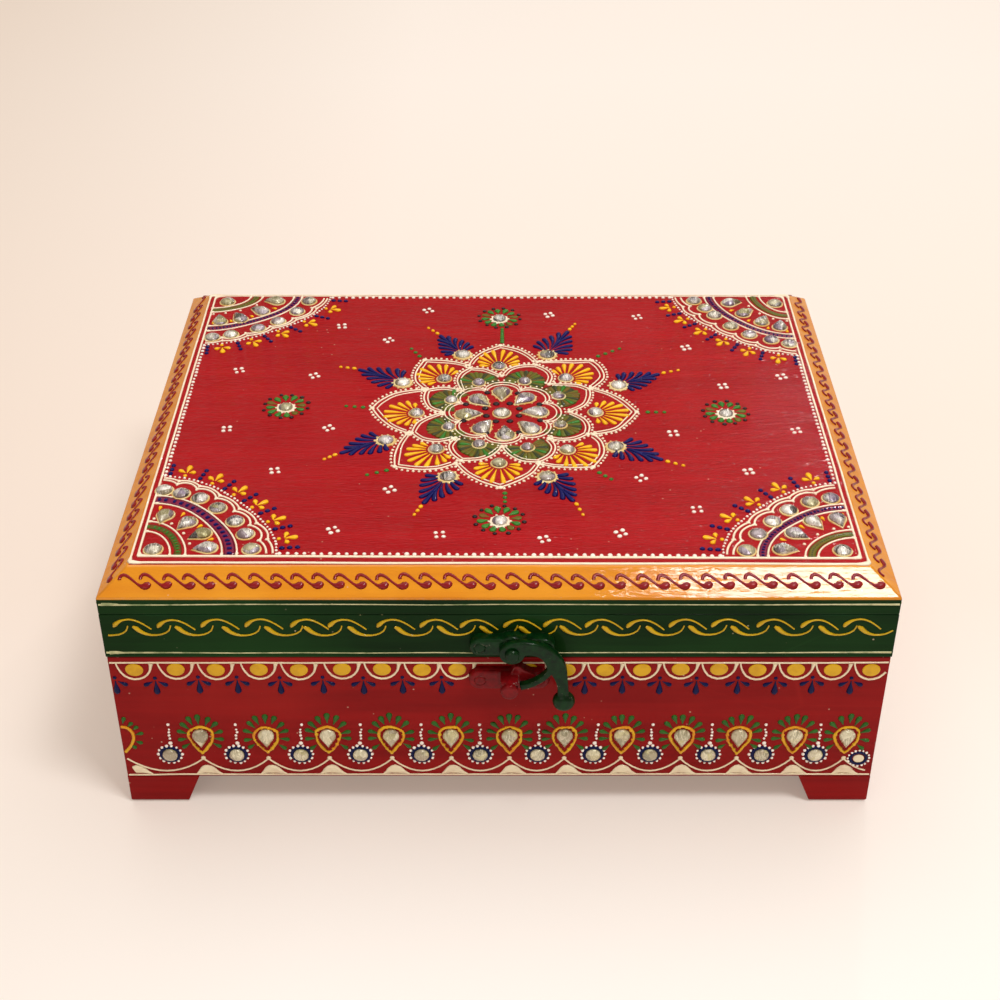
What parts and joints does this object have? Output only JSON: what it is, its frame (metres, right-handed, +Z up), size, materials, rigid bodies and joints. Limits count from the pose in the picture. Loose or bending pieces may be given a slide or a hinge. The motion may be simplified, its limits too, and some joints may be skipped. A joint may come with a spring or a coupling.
{
  "type": "painted chest",
  "caption": "Small painted wooden tabletop chest with a bevelled hinged lid, block feet, glass stones and a swing-hook latch.",
  "frame": {"origin": "on the floor, under the middle of the chest with its latch and stones", "axes": "+X to the right along the front, -Y out of the front, where the latch is, +Z up"},
  "size_m": [0.257, 0.2118, 0.097],
  "materials": {
    "painted_wood_red": "red paint under gloss varnish",
    "painted_wood_green": "green paint under gloss varnish",
    "bottom_board": "bare board",
    "steel_fasteners": "plain steel",
    "hinge_brass": "lacquered brass",
    "latch_green_enamel": "cast metal painted green with the lid",
    "latch_red_enamel": "cast metal painted red with the body",
    "glass_stones": "foil-backed glass"
  },
  "bodies": {
    "box": {"front_panel": "painted_wood_red", "back_panel": "painted_wood_red", "left_panel": "painted_wood_red", "right_panel": "painted_wood_red", "bottom_panel": "bottom_board", "foot_front_left": "painted_wood_red", "foot_front_right": "painted_wood_red", "foot_back_left": "painted_wood_red", "foot_back_right": "painted_wood_red", "corner_pins": "steel_fasteners", "bottom_pins": "steel_fasteners", "foot_screws": "steel_fasteners", "keeper_nails": "latch_red_enamel", "hinge_lower_screws": "hinge_brass", "keeper_plate": "latch_red_enamel", "hinge_left_lower_leaf": "hinge_brass", "hinge_left_pin": "hinge_brass", "hinge_right_lower_leaf": "hinge_brass", "hinge_right_pin": "hinge_brass", "front_drop_stones": "glass_stones", "front_round_stones": "glass_stones", "left_drop_stones": "glass_stones", "left_round_stones": "glass_stones", "right_drop_stones": "glass_stones", "right_round_stones": "glass_stones", "back_drop_stones": "glass_stones", "back_round_stones": "glass_stones"},
    "lid": {"lid_top_panel": "painted_wood_red", "lid_front_rail": "painted_wood_green", "lid_back_rail": "painted_wood_green", "lid_left_rail": "painted_wood_green", "lid_right_rail": "painted_wood_green", "lid_corner_pins": "steel_fasteners", "lid_top_pins": "steel_fasteners", "latch_plate": "latch_green_enamel", "latch_plate_nails": "latch_green_enamel", "latch_pivot_rivet": "latch_green_enamel", "hinge_left_upper_leaf": "hinge_brass", "hinge_right_upper_leaf": "hinge_brass", "hinge_upper_screws": "hinge_brass", "medallion_round_stones": "glass_stones", "medallion_drop_stones": "glass_stones", "spray_stones": "glass_stones", "rosette_stones": "glass_stones", "fan_front_left_drop_stones": "glass_stones", "fan_front_left_round_stones": "glass_stones", "fan_front_right_drop_stones": "glass_stones", "fan_front_right_round_stones": "glass_stones", "fan_back_left_drop_stones": "glass_stones", "fan_back_left_round_stones": "glass_stones", "fan_back_right_drop_stones": "glass_stones", "fan_back_right_round_stones": "glass_stones"},
    "latch_hook": {"latch_hook": "latch_green_enamel"}
  },
  "joints": [
    {"name": "lid_hinge", "type": "hinge", "parent": "box", "child": "lid", "pos_m": [0, 0.10168, 0.06485], "axis": [-1, 0, 0], "range_deg": [0, 100]},
    {"name": "hook_pivot", "type": "hinge", "parent": "lid", "child": "latch_hook", "pos_m": [0.0042, -0.10312, 0.0715], "axis": [0, -1, 0], "range_deg": [-20, 120]}
  ]
}
